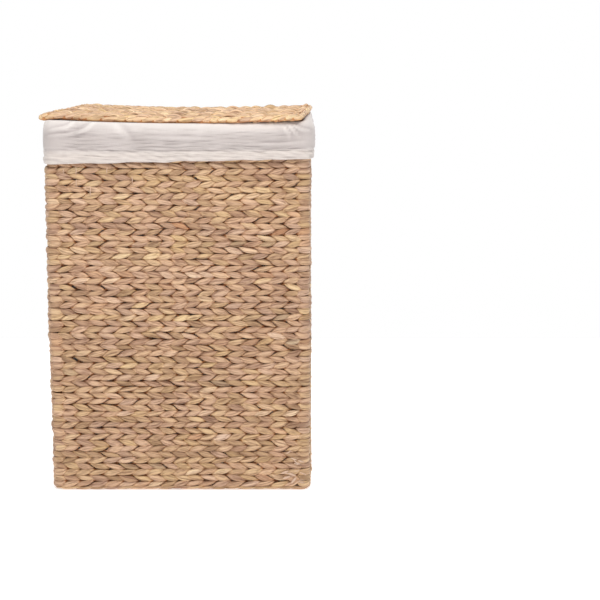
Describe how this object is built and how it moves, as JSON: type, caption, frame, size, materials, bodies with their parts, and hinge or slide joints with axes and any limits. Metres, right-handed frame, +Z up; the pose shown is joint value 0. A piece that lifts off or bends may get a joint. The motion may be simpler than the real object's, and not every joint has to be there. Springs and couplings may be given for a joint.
{
  "type": "laundry basket",
  "caption": "Tall rectangular basket of twined plant fibre with a cloth liner bag folded over the rim and a flat loose lid, for holding laundry.",
  "frame": {"origin": "on the floor, under the middle of the basket's bounding box", "axes": "+Z up, the wide front faces -Y, and +X is to the right as seen from the front"},
  "size_m": [0.4504, 0.3608, 0.6405],
  "materials": {
    "water_hyacinth": "natural dried plant fibre, matt",
    "liner_cotton": "unbleached cotton, plain weave",
    "hem_elastic": "woven elastic band",
    "frame_steel": "dark coated steel wire"
  },
  "bodies": {
    "basket": {"woven_wall": "water_hyacinth", "rim_wrap": "water_hyacinth", "base_wrap": "water_hyacinth", "floor_mat": "water_hyacinth", "floor_stakes": "frame_steel", "frame_top_ring": "frame_steel", "frame_bottom_ring": "frame_steel", "corner_post_front_left": "frame_steel", "corner_post_front_right": "frame_steel", "corner_post_back_left": "frame_steel", "corner_post_back_right": "frame_steel", "front_stakes": "frame_steel", "back_stakes": "frame_steel", "left_stakes": "frame_steel", "right_stakes": "frame_steel"},
    "liner": {"liner_bag": "liner_cotton", "liner_hem": "liner_cotton", "hem_elastic": "hem_elastic"},
    "lid": {"lid_border": "water_hyacinth", "lid_mat": "water_hyacinth", "lid_ring": "frame_steel", "lid_stakes": "frame_steel"}
  },
  "joints": [
    {"name": "liner_lift", "type": "slide", "parent": "basket", "child": "liner", "axis": [0, 0, 1], "range_m": [0, 0.62]},
    {"name": "lid_lift", "type": "slide", "parent": "liner", "child": "lid", "axis": [0, 0, 1], "range_m": [0, 0.3]}
  ]
}
